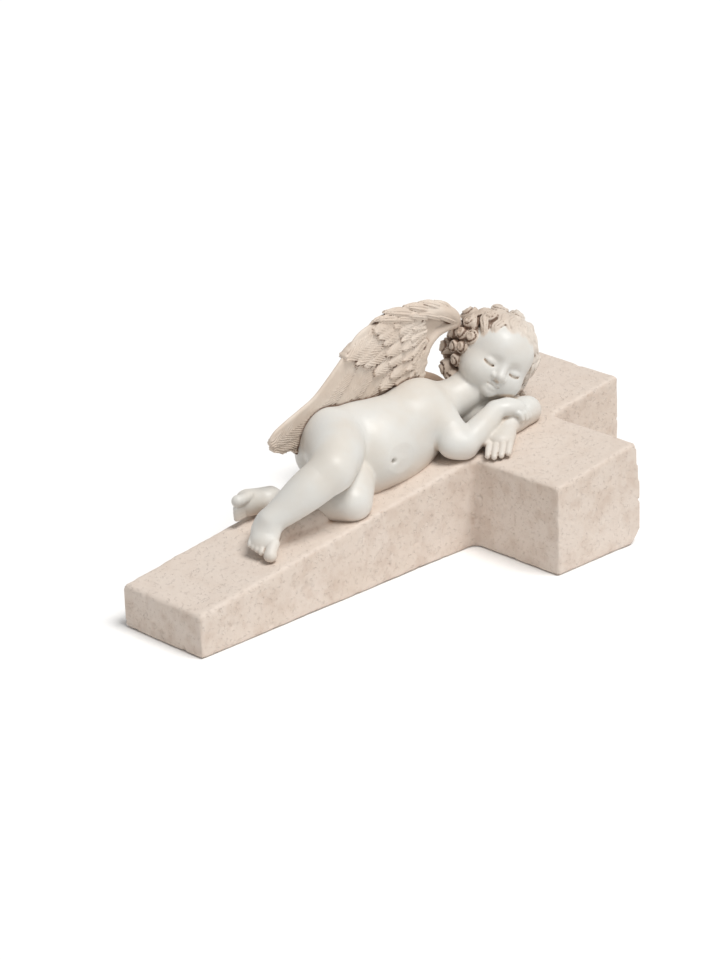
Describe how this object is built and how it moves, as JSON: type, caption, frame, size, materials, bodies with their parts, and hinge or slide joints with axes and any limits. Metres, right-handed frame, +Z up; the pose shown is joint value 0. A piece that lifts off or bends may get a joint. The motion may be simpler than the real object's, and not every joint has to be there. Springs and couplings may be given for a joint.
{
  "type": "grave angel figurine",
  "caption": "Cast resin cherub asleep on its side on a sloping Latin cross, one wing raised, standing on a flat underside.",
  "frame": {"origin": "under the middle of the cross's length and span, on the surface that it stands on", "axes": "+X along the cross towards its head end, +Y towards the cherub's back, +Z up"},
  "size_m": [0.21, 0.125, 0.0898],
  "materials": {
    "cast_resin": "painted cast resin: smooth off-white figure, cream hair and wings with a brown wash in the recesses, pitted sandy beige cross"
  },
  "bodies": {
    "root": {"cherub_on_cross": "cast_resin"}
  },
  "joints": []
}
